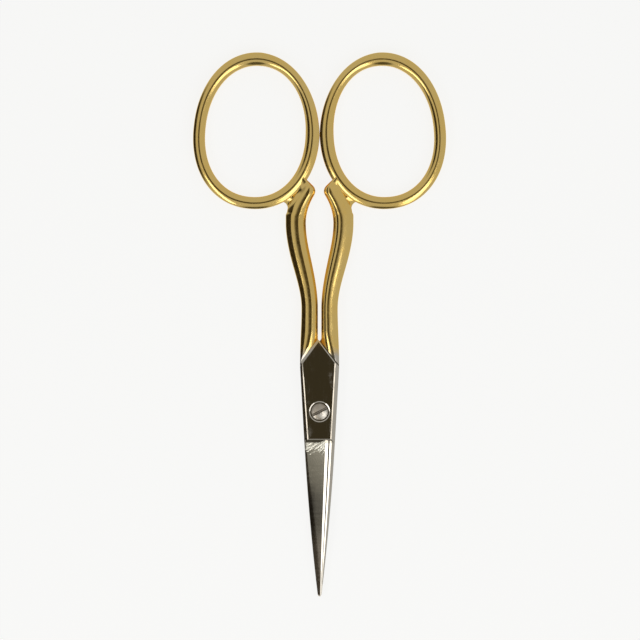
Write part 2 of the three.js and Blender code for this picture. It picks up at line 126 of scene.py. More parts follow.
# Finger bow
BOW_REACH = 48.95  # pivot to the middle of the finger hole
FINGER_WIDTH = 17.5
FINGER_LENGTH = 22.94
BOW_WALL_OUTSIDE = 2.08
BOW_WALL_INSIDE = 2.45  # on the side of the other bow
BOW_WALL_TOP = 2.32
BOW_WALL_BOTTOM = 2.1
BOW_WALL_EASE = 0.4  # how much thinner the wall is between its top and the other bow
BOW_THICKNESS = 2.4
BOW_LEAN_DEG = 4.1  # the top of each bow leans towards the other bow
BOW_SQUARENESS = 2.13  # exponent of the finger hole's superellipse, 2 is an ellipse
BOW_EGG = 0.04  # share by which a finger hole is narrower at the top and wider at the bottom
BOW_CORE = 0.5  # middle of the bow's wall, where its section is highest

# Sides of the bows' and shanks' sections: they fall from the crest to an upright band with a rounded
# edge. Slopes are pairs of a share of the side's width and degrees.
BOW_OUTSIDE = ((0, 0), (1, 34))
BOW_INSIDE = ((0, 0), (1, 45))
SHANK_OUTSIDE = ((0, 0), (0.5, 13), (0.6, 25), (1, 34))  # a low dome, then a shoulder and a flank
SHANK_INSIDE = ((0, 0), (0.36, 21.5), (0.7, 44), (1, 45))  # a round that ends in an even slope
DEEPEST_FALL = 0.72  # most that a wide side falls, as a share of the half height
EDGE_ROUND = 0.12  # radius of the rounded edge

# Shank between the plate and the bow
NECK_REACH = 18.0  # pivot to the narrowest place
NECK_WIDTH = 2.86
NECK_OFFSET = 1.735  # middle of the neck to the middle plane of the scissors
BELLY_WIDTH = 3.52
BELLY_OFFSET = 4.16
BELLY_DROP = 2.45  # widest place of the shank, below the bottom of the bow
WIDTH_LEAD = 4.8  # the width is reached this far before the belly
SHANK_THICKNESS = 2.9
ROOT_SHARE = 0.8  # share of the thickness that is left where the shank meets the bow
ROOT_START = 1.03  # that place, as the scale of an ellipse that fits the outside of the bow
ROOT_LEAD = 1.13  # where the shank begins to thin, on the same scale
CREST_SHIFT = 0.2  # ridge of the shank towards the inside, as a share of its half width
CREST_KNOB_SHIFT = 0.42  # the same at the knob
CREST_END_SHIFT = -0.45  # the same at the plate, where the ridge runs to the outside
CREST_END_REACH = 14.5  # pivot to where the ridge begins to turn outwards
KNOB_RISE = 3.32  # point of the knob above the bottom of the bow, before it is rounded
KNOB_OFFSET = 0.36  # that point to the middle plane
KNOB_FLANK = 1.05  # run of the knob's upper flank per unit of height
KNOB_ROUND = 1.6
KNOB_TOP = 2.3  # how far the shank runs on above the knob, inside the bow
RELIEF = 0.2  # the outside of the shank steps in by this much under the bow
RELIEF_DROP = 1.1  # where the step begins, below the bottom of the bow
RELIEF_LENGTH = 0.6
OUTSIDE_TURN = 1.9  # how far the outside turns towards the knob on its way into the bow
OUTSIDE_TURN_DROP = 1.0  # where that begins, below the bottom of the bow
STOCK_LENGTH = 0.6  # the shank's stock begins this far below the plate's shoulders

# Web in the corner between the outside of the shank and the bow
WEB_RISE = 1.38  # its corner, above the bottom of the bow
WEB_SET_OUT = 0.4  # its corner, outside the shank
WEB_RUN = 1.65  # how far it runs along the bow
WEB_DEPTH = 1.8  # how far it reaches into the bow and the shank
WEB_EDGE = 0.12  # half of its thickness at the edge
WEB_ROOT = 0.74  # half of its thickness where it has run in
WEB_LEAN_DEG = 42.0  # it runs in upwards, leaning towards the other half by this much

# Fineness of the meshes
BOW_STEPS = 256
SIDE_STEPS = 30
ROUNDING_STEPS = 6
WEB_STEPS = 16
SHANK_STEPS = 220
BLADE_STEPS = 90
TIP_STEPS = 12
EDGE_CURVE_STEPS = 7
ROUND_STEPS = 128
DOME_STEPS = 12
SLOPE_STEP = 0.001  # radians, for the direction of a curve
PEAK_SCALE = 27 / 4  # brings the highest value of s * s * (1 - s) to 1

# Edges that turn by more than this are shaded as sharp ones
HANDLE_SHARP_DEG = 35
BLADE_SHARP_DEG = 8
SCREW_SHARP_DEG = 25

# Faces with a finish of their own; a face's lean is a part of its normal
GROUND_START = -HEEL_REACH + HEEL_CHAMFER[0]  # the ground face lies below this place along Y
HEEL_LEAN = 0.3  # faces that lean further towards the tip belong to the heel
SHADED_BEVEL_LEAN = (0.1, 0.4)  # bevels painted darker as shade lean to a side between these, and less than the first along Y

# Places that follow from the sizes
CUT_REACH = 2 * APEX_REACH  # cutting bodies reach this far, well past what they cut
MATING_PLANE = LAP_GAP / 2
PLATE_TOP = MATING_PLANE + PLATE_THICKNESS
BORE_RADIUS = SCREW_SHANK_DIAMETER / 2 + RUNNING_CLEARANCE
COUNTERBORE_RADIUS = SCREW_HEAD_DIAMETER / 2 + HEAD_CLEARANCE


# Small helpers
def lerp(a, b, share):
    return a + (b - a) * share


def smoothstep(value, low, high):
    share = np.clip((value - low) / (high - low), 0, 1)
    return share * share * (3 - 2 * share)


def shaped(value, squareness):
    """Power of a sine or cosine that keeps its sign, for superellipses."""
    return np.sign(value) * np.abs(value) ** (2 / squareness)


def turns(count):
    return np.linspace(0, 2 * math.pi, count, endpoint=False)


def object_of(name, vertices, faces):
    mesh = bpy.data.meshes.new(name)
    mesh.from_pydata([tuple(v) for v in vertices], [], faces)
    mesh.validate()
    made = bpy.data.objects.new(name, mesh)
    bpy.context.scene.collection.objects.link(made)
    return made


def loft(name, sections, ring=False):
    """Closed skin over sections of equally many points; a ring's last section joins its first."""
    sections = np.asarray(sections, float)
    rows, columns, _ = sections.shape
    faces = []
    for row in range(rows if ring else rows - 1):
        here = row * columns
        there = (row + 1) % rows * columns
        for column in range(columns):
            after = (column + 1) % columns
            faces.append((here + column, here + after, there + after, there + column))
    if not ring:
        faces.append(tuple(reversed(range(columns))))
        faces.append(tuple((rows - 1) * columns + column for column in range(columns)))
    made = object_of(name, sections.reshape(-1, 3), faces)
    face_outwards(made)
    return made


def face_outwards(piece):
    """Turns all faces round if the closed mesh is inside out."""
    mesh = piece.data
    volume = 0.0
    mesh.calc_loop_triangles()
    for triangle in mesh.loop_triangles:
        a, b, c = (mesh.vertices[i].co for i in triangle.vertices)
        volume += a.dot(b.cross(c))
    if volume < 0:
        mesh.flip_normals()


def prism(name, points, bottom, top):
    levels = [[(x, y, height) for x, y in points] for height in (bottom, top)]
    return loft(name, levels)


def turned(name, profile):
    """Body of revolution about Z; the profile runs from the axis to the axis."""
    angles = turns(ROUND_STEPS)
    vertices = []
    for radius, height in profile[1:-1]:
        vertices.extend((radius * math.cos(a), radius * math.sin(a), height) for a in angles)
    faces = []
    rows = len(profile) - 2
    for row in range(rows - 1):
        here = row * ROUND_STEPS
        there = here + ROUND_STEPS
        for column in range(ROUND_STEPS):
            after = (column + 1) % ROUND_STEPS
            faces.append((here + column, here + after, there + after, there + column))
    first_end = len(vertices)
    last_end = first_end + 1
    vertices.append((0, 0, profile[0][1]))
    vertices.append((0, 0, profile[-1][1]))
    last_row = (rows - 1) * ROUND_STEPS
    for column in range(ROUND_STEPS):
        after = (column + 1) % ROUND_STEPS
        faces.append((after, column, first_end))
        faces.append((last_row + column, last_row + after, last_end))
    made = object_of(name, vertices, faces)
    face_outwards(made)
    return made


def combine(piece, operation, tool):
    """Joins or cuts a piece with another body, which is used up."""
    modifier = piece.modifiers.new("combine", "BOOLEAN")
    modifier.operation = operation
    modifier.solver = "EXACT"
    modifier.object = tool
    graph = bpy.context.evaluated_depsgraph_get()
    mesh = bpy.data.meshes.new_from_object(piece.evaluated_get(graph))
    piece.modifiers.clear()
    old = piece.data
    piece.data = mesh
    bpy.data.meshes.remove(old)
    bpy.data.objects.remove(tool)


def fall_at(slopes, share):
    """How far a side has fallen at a share of its width, for a width of 1."""
    fall = 0.0
    for (start, start_deg), (end, end_deg) in zip(slopes, slopes[1:]):
        run = np.clip((share - start) / (end - start), 0, 1)
        first = math.tan(math.radians(start_deg))
        last = math.tan(math.radians(end_deg))
        fall = fall + (end - start) * (first * run + (last - first) * run ** 2 / 2)
    return fall


def side_of(width, half_height, slopes):
    """Side of a section from the crest to the edge, as distances from the crest and heights."""
    flatten = np.minimum(1, DEEPEST_FALL * half_height / (width * fall_at(slopes, 1)))
    edge = np.arctan(flatten * math.tan(math.radians(slopes[-1][1])))
    share = (1 - EDGE_ROUND * (1 - np.sin(edge)) / width) * np.linspace(0, 1, SIDE_STEPS)
    height = half_height - flatten * width * fall_at(slopes, share)
    turn = lerp(edge, math.pi / 2, np.linspace(0, 1, ROUNDING_STEPS)[1:])
    corner_height = height[..., -1:] - EDGE_ROUND * (np.cos(edge) - np.cos(turn))
    across = np.concatenate([width * share, width - EDGE_ROUND * (1 - np.sin(turn))], -1)
    return across, np.concatenate([height, corner_height], -1)


def section_of(inner_side, outer_side):
    """Section from the inside over the top and back below, as distances outwards and heights."""
    out = np.concatenate([-inner_side[0][..., ::-1], outer_side[0][..., 1:]], -1)
    height = np.concatenate([inner_side[1][..., ::-1], outer_side[1][..., 1:]], -1)
    return np.concatenate([out, out[..., ::-1]], -1), np.concatenate([height, -height[..., ::-1]], -1)


# Finger bow
def finger_edge(angle):
    across = shaped(np.cos(angle), BOW_SQUARENESS)
    along = shaped(np.sin(angle), BOW_SQUARENESS)
    x = FINGER_WIDTH / 2 * across * (1 - BOW_EGG * along)
    y = FINGER_LENGTH / 2 * along
    lean = -math.radians(BOW_LEAN_DEG)
    leaning_x = x * math.cos(lean) - y * math.sin(lean)
    leaning_y = x * math.sin(lean) + y * math.cos(lean)
    return np.stack([leaning_x, leaning_y], -1)


def bow_point(angle, depth):
    """Point of the bow's wall: 0 lies on the finger hole and 1 on the outside of the bow."""
    ahead = finger_edge(angle + SLOPE_STEP) - finger_edge(angle - SLOPE_STEP)
    ahead /= np.linalg.norm(ahead, axis=-1, keepdims=True)
    outwards = np.stack([ahead[..., 1], -ahead[..., 0]], -1)
    side_wall = np.where(np.cos(angle) > 0, BOW_WALL_INSIDE, BOW_WALL_OUTSIDE)
    end_wall = np.where(np.sin(angle) > 0, BOW_WALL_TOP, BOW_WALL_BOTTOM)
    near_top = np.where(np.cos(angle) > 0, np.maximum(np.sin(2 * angle), 0), 0)
    wall = lerp(side_wall, end_wall, np.sin(angle) ** 2) - BOW_WALL_EASE * near_top
    return finger_edge(angle) + outwards * (wall * depth)[..., None]


BOW_ANGLES = turns(BOW_STEPS)
BOW_OUTLINE = bow_point(BOW_ANGLES, 1)
BOW_CENTRE = np.array([-BOW_GAP / 2 - BOW_OUTLINE[:, 0].max(), BOW_REACH])
BOW_BOTTOM = BOW_REACH + BOW_OUTLINE[:, 1].min()
BELLY_REACH = BOW_BOTTOM - BELLY_DROP
KNOB_REACH = BOW_BOTTOM + KNOB_RISE


def bow_body():
    inside = bow_point(BOW_ANGLES, 0) + BOW_CENTRE
    outside = BOW_OUTLINE + BOW_CENTRE
    middle = lerp(inside, outside, BOW_CORE)
    inner_width = np.linalg.norm(middle - inside, axis=-1, keepdims=True)
    outer_width = np.linalg.norm(outside - middle, axis=-1, keepdims=True)
    outwards = (outside - middle) / outer_width
    half_height = np.full_like(outer_width, BOW_THICKNESS / 2)
    out, height = section_of(side_of(inner_width, half_height, BOW_INSIDE),
                             side_of(outer_width, half_height, BOW_OUTSIDE))
    plan = middle[:, None, :] + outwards[:, None, :] * out[..., None]
    return loft("bow", np.concatenate([plan, height[..., None]], -1), ring=True)


def inside_of_bow():
    points = bow_point(BOW_ANGLES, BOW_CORE) + BOW_CENTRE
    return prism("inside_of_bow", points, -CUT_REACH, CUT_REACH)


# Shank
def rounded_least(a, b, width):
    near = np.maximum(width - np.abs(a - b), 0) / width
    return np.minimum(a, b) - near * near * width / 4


def shank_edges(y):
    along = smoothstep(y, NECK_REACH, BELLY_REACH)
    middle = -lerp(NECK_OFFSET, BELLY_OFFSET, along)
    widen = smoothstep(y, NECK_REACH, BELLY_REACH - WIDTH_LEAD)
    half_width = lerp(NECK_WIDTH, BELLY_WIDTH, widen) / 2
    rise = np.maximum(y - BELLY_REACH, 0) / (KNOB_REACH - BELLY_REACH)
    towards_knob = lerp(middle + half_width, -KNOB_OFFSET, rise * rise)
    flank = -KNOB_OFFSET - (y - KNOB_REACH) * KNOB_FLANK
    relief_reach = BOW_BOTTOM - RELIEF_DROP
    outside = middle - half_width + RELIEF * smoothstep(y, relief_reach, relief_reach + RELIEF_LENGTH)
    outside += OUTSIDE_TURN * smoothstep(y, BOW_BOTTOM - OUTSIDE_TURN_DROP, KNOB_REACH + KNOB_TOP)
    outside = lerp(-SHOULDER_HALF_WIDTH, outside, smoothstep(y, HANDLE_SHOULDER_REACH, NECK_REACH))
    return outside, rounded_least(towards_knob, flank, KNOB_ROUND)


def thickness_share(x, y):
    """Share of the shank's thickness at a place: it thins towards the bow."""
    lean = math.radians(BOW_LEAN_DEG)
    x = x - BOW_CENTRE[0]
    y = y - BOW_CENTRE[1]
    across = (x * math.cos(lean) - y * math.sin(lean)) / (FINGER_WIDTH / 2 + BOW_WALL_INSIDE)
    along = (x * math.sin(lean) + y * math.cos(lean)) / (FINGER_LENGTH / 2 + BOW_WALL_BOTTOM)
    return lerp(ROOT_SHARE, 1, smoothstep(np.hypot(across, along), ROOT_START, ROOT_LEAD))


def shank_body():
    start = min(SPINE_SHOULDER_REACH, HANDLE_SHOULDER_REACH) - STOCK_LENGTH
    y = np.linspace(start, KNOB_REACH + KNOB_TOP, SHANK_STEPS)
    outside, inside = (edge[:, None] for edge in shank_edges(y))
    shift = lerp(CREST_END_SHIFT, CREST_SHIFT, smoothstep(y, HANDLE_SHOULDER_REACH, CREST_END_REACH))
    shift += (CREST_KNOB_SHIFT - CREST_SHIFT) * smoothstep(y, BELLY_REACH, KNOB_REACH)
    crest = (inside + outside) / 2 + shift[:, None] * (inside - outside) / 2
    half_height = np.full_like(crest, SHANK_THICKNESS / 2)
    out, height = section_of(side_of(inside - crest, half_height, SHANK_INSIDE),
                             side_of(crest - outside, half_height, SHANK_OUTSIDE))
    x = crest - out
    along = np.broadcast_to(y[:, None], out.shape)
    return loft("shank", np.stack([x, along, height * thickness_share(x, along)], -1))


def web_body():
    """Web with a hollow edge from the shank to the bow and domed faces."""
    corner_y = BOW_BOTTOM + WEB_RISE
    corner = np.array([shank_edges(np.array(corner_y))[0] - WEB_SET_OUT, corner_y])
    on_bow = corner - (WEB_RUN, 0)
    on_shank = corner - (0, WEB_RISE)
    lean = math.radians(WEB_LEAN_DEG)
    inwards = np.array([math.sin(lean), math.cos(lean)])
    share = np.linspace(0, 1, WEB_STEPS)[:, None]
    height = lerp(WEB_EDGE, WEB_ROOT, share * (2 - share))
    sections = []
    for run in np.linspace(0, 1, WEB_STEPS):
        edge = lerp(lerp(on_shank, corner, run), lerp(corner, on_bow, run), run)
        plan = edge + inwards * share * WEB_DEPTH
        upper = np.concatenate([plan, height], 1)
        lower = np.concatenate([plan, -height], 1)
        sections.append(np.concatenate([upper, lower[::-1]]))
    return loft("web", sections)


# Pivot plate: its outline runs counterclockwise from the heel's spine corner
PLATE_CORNERS = np.array([
    (HEEL_HALF_WIDTH, -HEEL_REACH),
    (SHOULDER_HALF_WIDTH, SPINE_SHOULDER_REACH),
    (NECK_WIDTH / 2 - NECK_OFFSET, APEX_REACH),
    (-SHOULDER_HALF_WIDTH, HANDLE_SHOULDER_REACH),
    (-HEEL_HALF_WIDTH + HEEL_SET_IN, -HEEL_REACH),
])


def inset_outline(corners, insets):
    """Moves each edge of the outline inwards by its own amount; edge i starts at corner i."""
    along = np.roll(corners, -1, axis=0) - corners
    along /= np.linalg.norm(along, axis=1, keepdims=True)
    inwards = np.stack([-along[:, 1], along[:, 0]], -1)
    distance = (inwards * corners).sum(1) + np.asarray(insets, float)
    moved = []
    for i in range(len(corners)):
        sides = np.array([inwards[i - 1], inwards[i]])
        moved.append(np.linalg.solve(sides, [distance[i - 1], distance[i]]))
    return np.array(moved)


def plate_body():
    """Plate whose edges each fall by their own bevel and chamfer, in the order of the outline."""
    facets = [
        (SPINE_BEVEL, SPINE_CHAMFER),
        (CROSSING_BEVEL, CROSSING_CHAMFER),
        (GROOVE_BEVEL, GROOVE_CHAMFER),
        (CUTTING_BEVEL, CUTTING_CHAMFER),
        (HEEL_BEVEL, HEEL_CHAMFER),
    ]
    profiles = []
    for bevel, chamfer in facets:
        heights = [MATING_PLANE, PLATE_TOP - bevel[1] - chamfer[1], PLATE_TOP - bevel[1], PLATE_TOP]
        profiles.append((heights, [0, 0, chamfer[0], chamfer[0] + bevel[0]]))
    sections = []
    for height in sorted({height for heights, _ in profiles for height in heights}):
        insets = [np.interp(height, heights, widths) for heights, widths in profiles]
        sections.append([(x, y, height) for x, y in inset_outline(PLATE_CORNERS, insets)])
    return loft("plate", sections)


# Ground blade: its section runs from the cutting edge over the ridge to the spine and back below
RIDGE = EDGE_CURVE_STEPS + 1  # which point of the section the ridge is


def blade_section(y):
    along = np.clip((-y - HEEL_REACH) / (TIP_REACH - HEEL_REACH), 0, 1)
    bulge = 4 * along * (1 - along)
    spine = lerp(HEEL_HALF_WIDTH, TIP_HALF_WIDTH, along) + BLADE_BELLY * bulge
    edge = -spine + EDGE_COVER * (1 - along)
    back = lerp(BACK_WIDTH, TIP_BACK_WIDTH, along) + BACK_BELLY * bulge
    thickness = lerp(PLATE_THICKNESS, TIP_THICKNESS, along) + THICKNESS_BELLY * bulge
    slim = thickness / PLATE_THICKNESS
    ridge_top = MATING_PLANE + thickness - RIDGE_DROP * slim
    terrace_top = ridge_top - LAND_FALL * slim
    bevel_foot = terrace_top - BACK_BEVEL_DROP * slim
    chamfer_foot = bevel_foot - BACK_CHAMFER_DROP * slim
    terrace = spine - back * (1 - LAND_SHARE)
    bevel = terrace + back * TERRACE_SHARE
    swell = along ** 2 * (1 - along) * PEAK_SCALE
    edge_bevel = lerp(EDGE_BEVEL_WIDTH, EDGE_BEVEL_TIP, along) + EDGE_BEVEL_BELLY * swell
    edge_top = MATING_PLANE + EDGE_THICKNESS
    edge_slope = math.tan(math.radians(EDGE_BEVEL_DEG))
    ground_width = spine - back - edge
    ground_slope = (ridge_top - edge_top - edge_bevel * edge_slope / 2) / (ground_width - edge_bevel / 2)
    curve = []
    for share in np.linspace(0, 1, EDGE_CURVE_STEPS):
        rise = edge_slope * share - (edge_slope - ground_slope) * share ** 2 / 2
        curve.append((edge + edge_bevel * share, edge_top + edge_bevel * rise))
    from_tip = np.clip((TIP_REACH + y) / TIP_ROUND, 0, 1)
    rounding = lerp(TIP_END, 1, math.sqrt(1 - (1 - from_tip) ** 2))
    section = [
        (edge, MATING_PLANE),
        *curve,
        (spine - back, ridge_top),
        (terrace, terrace_top),
        (bevel, terrace_top),
        (bevel + back * BEVEL_SHARE, bevel_foot),
        (spine, chamfer_foot),
        (spine, MATING_PLANE),
        ((edge + spine) / 2, MATING_PLANE + HOLLOW_DEPTH * slim),
    ]
    return [(x * rounding, y, height) for x, height in section]


def blade_body():
    tip = TIP_ROUND * np.linspace(0, 1, TIP_STEPS) ** 2 - TIP_REACH
    rest = np.linspace(TIP_ROUND - TIP_REACH, BLADE_OVERLAP - HEEL_REACH, BLADE_STEPS)
    return loft("blade", [blade_section(y) for y in (*tip, *rest[1:])])


# Cuts between a handle, its own plate and the other half
def groove_cut():
    apex, shoulder = PLATE_CORNERS[2:4]
    along = (shoulder - apex) / np.linalg.norm(shoulder - apex)
    towards_plate = np.array([-along[1], along[0]])
    floor_height = PLATE_TOP - GROOVE_DEPTH
    lean = CUT_REACH / math.tan(math.radians(GROOVE_SLOPE_DEG))
    profile = [
        (-SEAM_GAP, MATING_PLANE - SEAM_GAP),
        (CUT_REACH, MATING_PLANE - SEAM_GAP),
        (CUT_REACH, floor_height + CUT_REACH),
        (-SEAM_GAP - lean, floor_height + CUT_REACH),
        (-SEAM_GAP, floor_height),
    ]
    sections = []
    for run in (-CUT_REACH, CUT_REACH):
        start = apex + along * run
        sections.append([(*(start + towards_plate * across), height) for across, height in profile])
    return loft("groove_cut", sections)


def other_plate_cut():
    grown = inset_outline(PLATE_CORNERS, np.full(len(PLATE_CORNERS), -STEP_CLEARANCE))
    mirrored = [(-x, y) for x, y in reversed(grown)]
    return prism("other_plate_cut", mirrored, -CUT_REACH, MATING_PLANE)


def pivot_hole_cut(counterbored):
    """Bore for the screw's shank; a counterbore seats its head and has a mouth that widens upwards."""
    profile = [(0, -CUT_REACH), (BORE_RADIUS, -CUT_REACH)]
    if counterbored:
        seat = PLATE_TOP - SCREW_HEAD_HEIGHT - RUNNING_CLEARANCE
        mouth_top = PLATE_TOP + COUNTERBORE_FLARE_DROP
        profile += [
            (BORE_RADIUS, seat),
            (COUNTERBORE_RADIUS, seat),
            (COUNTERBORE_RADIUS, PLATE_TOP - COUNTERBORE_FLARE_DROP),
            (COUNTERBORE_RADIUS + 2 * COUNTERBORE_FLARE, mouth_top),
            (0, mouth_top),
        ]
    else:
        profile += [(BORE_RADIUS, CUT_REACH), (0, CUT_REACH)]
    return turned("pivot_hole_cut", profile)


# Pieces; the blades' faces carry these marks for their material
GROUND_MARK = "ground"
# faces of the plate's side bevels, which are painted darker as shade
SHADED_BEVEL_MARK = "shaded_bevel"


def handle(name):
    made = shank_body()
    combine(made, "UNION", web_body())
    combine(made, "DIFFERENCE", inside_of_bow())
    combine(made, "DIFFERENCE", groove_cut())
    combine(made, "DIFFERENCE", other_plate_cut())
    combine(made, "UNION", bow_body())
    made.name = name
    return made


def is_ground(face):
    """Whether a face of a blade is a ground one, between the cutting edge and the ridge."""
    x, y, _ = face.center
    is_upper = face.normal.z > 0 and face.normal.y > -HEEL_LEAN
    ridge_x = blade_section(y)[RIDGE][0]
    return is_upper and y < GROUND_START and x < ridge_x


def is_shaded_bevel(face):
    """Whether a face of a blade is a bevel along a side of the plate."""
    x, y, _ = face.center
    least, most = SHADED_BEVEL_LEAN
    is_bevel = least < abs(face.normal.x) < most and abs(face.normal.y) < least
    is_outside_mouth = math.hypot(x, y) > COUNTERBORE_RADIUS + COUNTERBORE_FLARE
    return is_bevel and is_outside_mouth and y > -HEEL_REACH


def mark_faces(piece, name, is_marked):
    """Gives every face a number for its material: 1 where it is marked and 0 elsewhere."""
    values = [float(is_marked(face)) for face in piece.data.polygons]
    marks = piece.data.attributes.new(name, "FLOAT", "FACE")
    marks.data.foreach_set("value", values)


def blade(name, counterbored):
    made = plate_body()
    combine(made, "UNION", blade_body())
    combine(made, "DIFFERENCE", pivot_hole_cut(counterbored))
    mark_faces(made, GROUND_MARK, is_ground)
    mark_faces(made, SHADED_BEVEL_MARK, is_shaded_bevel)
    made.name = name
    return made


def slot_cut():
    top = PLATE_TOP + SCREW_HEAD_DOME
    floor_side = SLOT_WIDTH / 2 - SLOT_TAPER
    mouth_side = SLOT_WIDTH / 2 + SLOT_TAPER
    profile = [
        (-floor_side, top - SLOT_DEPTH),
        (floor_side, top - SLOT_DEPTH),
        (mouth_side, top + SLOT_DEPTH),
        (-mouth_side, top + SLOT_DEPTH),
    ]
    ends = (-SCREW_HEAD_DIAMETER, SCREW_HEAD_DIAMETER)
    made = loft("slot_cut", [[(x, side, height) for side, height in profile] for x in ends])
    made.data.transform(Matrix.Rotation(math.radians(SLOT_ANGLE_DEG), 4, "Z"))
    return made


def screw(name):
    head = SCREW_HEAD_DIAMETER / 2
    shank = SCREW_SHANK_DIAMETER / 2
    head_foot = PLATE_TOP - SCREW_HEAD_HEIGHT
    dome_radius = (head ** 2 + SCREW_HEAD_CROWN ** 2) / (2 * SCREW_HEAD_CROWN)
    dome = []
    for radius in np.linspace(head, 0, DOME_STEPS):
        drop = dome_radius - math.sqrt(dome_radius ** 2 - radius ** 2)
        dome.append((radius, PLATE_TOP + SCREW_HEAD_DOME - drop))
    tail = -PLATE_TOP + SCREW_TAIL_RECESS
    made = turned(name, [(0, tail), (shank, tail), (shank, head_foot), (head, head_foot), *dome])
    combine(made, "DIFFERENCE", slot_cut())
    made.name = name
    return made


def place(piece, cad_node, body, material, sharp_deg, turned_over=False):
    """Scales a piece to metres, sets it at the pivot and lets it stand for its node."""
    move = Matrix.Translation(pivot) @ Matrix.Scale(MM, 4)
    if turned_over:
        move = move @ Matrix.Rotation(math.pi, 4, "Y")
    piece.data.transform(move)
    piece.data.materials.clear()
    piece.data.materials.append(material)
    piece.data.shade_smooth()
    piece.data.set_sharp_from_angle(angle=math.radians(sharp_deg))
    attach(piece, body)
    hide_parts(cad_node)


# Materials
def node(tree, kind, inputs=None, **settings):
    made = tree.nodes.new(kind)
    for key, value in settings.items():
        setattr(made, key, value)
    for key, value in (inputs or {}).items():
        if isinstance(value, bpy.types.NodeSocket):
            tree.links.new(value, made.inputs[key])
        else:
            made.inputs[key].default_value = value
    return made


def calculate(tree, operation, *values):
    made = node(tree, "ShaderNodeMath", dict(enumerate(values)), operation=operation)
    return made.outputs["Value"]


def calculate_vector(tree, operation, *values):
    made = node(tree, "ShaderNodeVectorMath", dict(enumerate(values)), operation=operation)
    return made.outputs["Vector"]


def product(tree, first, second):
    return calculate(tree, "MULTIPLY", first, second)


def length_of(tree, across, along):
    squares = calculate(tree, "MULTIPLY_ADD", across, across, product(tree, along, along))
    return calculate(tree, "SQRT", squares)


def ramp(tree, value, low, high, start=0.0, end=1.0):
    """Goes smoothly from start to end while the value goes from low to high."""
    inputs = {"Value": value, "From Min": low, "From Max": high, "To Min": start, "To Max": end}
    made = node(tree, "ShaderNodeMapRange", inputs, interpolation_type="SMOOTHSTEP")
    return made.outputs["Result"]


def clouds(tree, vector, cells, detail=2.0):
    """Noise in 0 to 1, with so many cells per unit, or one number of cells for each axis."""
    if isinstance(cells, tuple):
        vector = calculate_vector(tree, "MULTIPLY", vector, cells)
        cells = 1.0
    made = node(tree, "ShaderNodeTexNoise", {"Vector": vector, "Scale": cells, "Detail": detail})
    return made.outputs["Fac"]


def ragged(tree, value, pattern, reach):
    """A value pushed up by a pattern, so that a fade along it gets a ragged border."""
    return calculate(tree, "MULTIPLY_ADD", pattern, reach, value)


def blend(tree, share, first, second):
    """Mix of two numbers, two colours or two directions."""
    kind = "RGBA" if isinstance(first, tuple) else getattr(first, "type", "VALUE")
    data_type = "FLOAT" if kind == "VALUE" else kind
    made = node(tree, "ShaderNodeMix", {"Factor": share}, data_type=data_type)
    for name, value in (("A", first), ("B", second)):
        socket = next(s for s in made.inputs if s.name == name and s.enabled)
        if isinstance(value, bpy.types.NodeSocket):
            tree.links.new(value, socket)
        else:
            socket.default_value = (*value, 1) if kind == "RGBA" else value
    return next(s for s in made.outputs if s.enabled)


def relief_map(tree, height, depth_mm, under=None):
    inputs = {"Height": height, "Strength": 1.0, "Distance": depth_mm * MM}
    if under is not None:
        inputs["Normal"] = under
    return node(tree, "ShaderNodeBump", inputs).outputs["Normal"]


def face_mark(tree, name):
    return node(tree, "ShaderNodeAttribute", attribute_name=name).outputs["Fac"]


def new_material(name):
    """Empty material, with the place on the part in millimetres from the pivot and its three parts."""
    made = bpy.data.materials.new(name)
    made.use_nodes = True
    tree = made.node_tree
    tree.nodes.clear()
    place_m = node(tree, "ShaderNodeTexCoord").outputs["Object"]
    offset = calculate_vector(tree, "SUBTRACT", place_m, tuple(pivot))
    scaled = node(tree, "ShaderNodeVectorMath", {0: offset, "Scale": 1 / MM}, operation="SCALE")
    place_mm = scaled.outputs["Vector"]
    parts = node(tree, "ShaderNodeSeparateXYZ", {"Vector": place_mm}).outputs
    return made, tree, place_mm, (parts["X"], parts["Y"], parts["Z"])


def finish_metal(tree, colour, roughness, normal, **more):
    inputs = {"Base Color": colour, "Metallic": 1.0, "Roughness": roughness, "Normal": normal}
    inputs.update(more)
    shader = node(tree, "ShaderNodeBsdfPrincipled", inputs)
    node(tree, "ShaderNodeOutputMaterial", {"Surface": shader.outputs["BSDF"]})


# Colours of the metals
GOLD = (0.95, 0.665, 0.21)
PALE_GOLD = (0.93, 0.67, 0.235)
WARM_GOLD = (0.97, 0.65, 0.18)
NICKEL = (0.66, 0.61, 0.53)
# painted shade on the plate's bevels, which dims the lamps reflected in them
SHADED_BEVEL_NICKEL = (0.41, 0.365, 0.295)
GROUND_NICKEL = (0.57, 0.525, 0.41)
# painted dark reflections on the ground face of the blade
PAINTED_REFLECTION_NICKEL = (0.36, 0.332, 0.27)
DEEP_PAINTED_REFLECTION_NICKEL = (0.2, 0.185, 0.15)
TIP_NICKEL = (0.84, 0.73, 0.59)
BRIGHT_BURR = (0.98, 0.94, 0.8)
DARK_BURR = (0.7, 0.66, 0.53)
STEEL = (0.62, 0.58, 0.51)
STAINED_AND_SHADED_STEEL = (0.5, 0.43, 0.34)
# painted shade in the screw's slot
SLOT_PAINTED_SHADE = (0.08, 0.06, 0.04)

# Roughness, as a single value or the least and the most, and the screw's rougher half and painted shade
GOLD_ROUGHNESS = (0.1, 0.17)
MIRROR_ROUGHNESS = 0.035
MARK_ROUGHNESS = 0.16  # what a handling mark adds to the mirror
GILDED_ROUGHNESS = 0.2
SATIN_ROUGHNESS = (0.16, 0.2)
BURR_ROUGHNESS = 0.28
STEEL_ROUGHNESS = (0.22, 0.32)
DULL_ROUGHNESS = 0.5
STEEL_ANISOTROPY = 0.5
SHADED_HALF_SHARE = 0.5  # share of the stains' colour painted as shade on the screw's rougher half
SLOT_MIDDLE_SHADE = 0.3  # share of painted shade along the middle of the slot; its corners get all of it

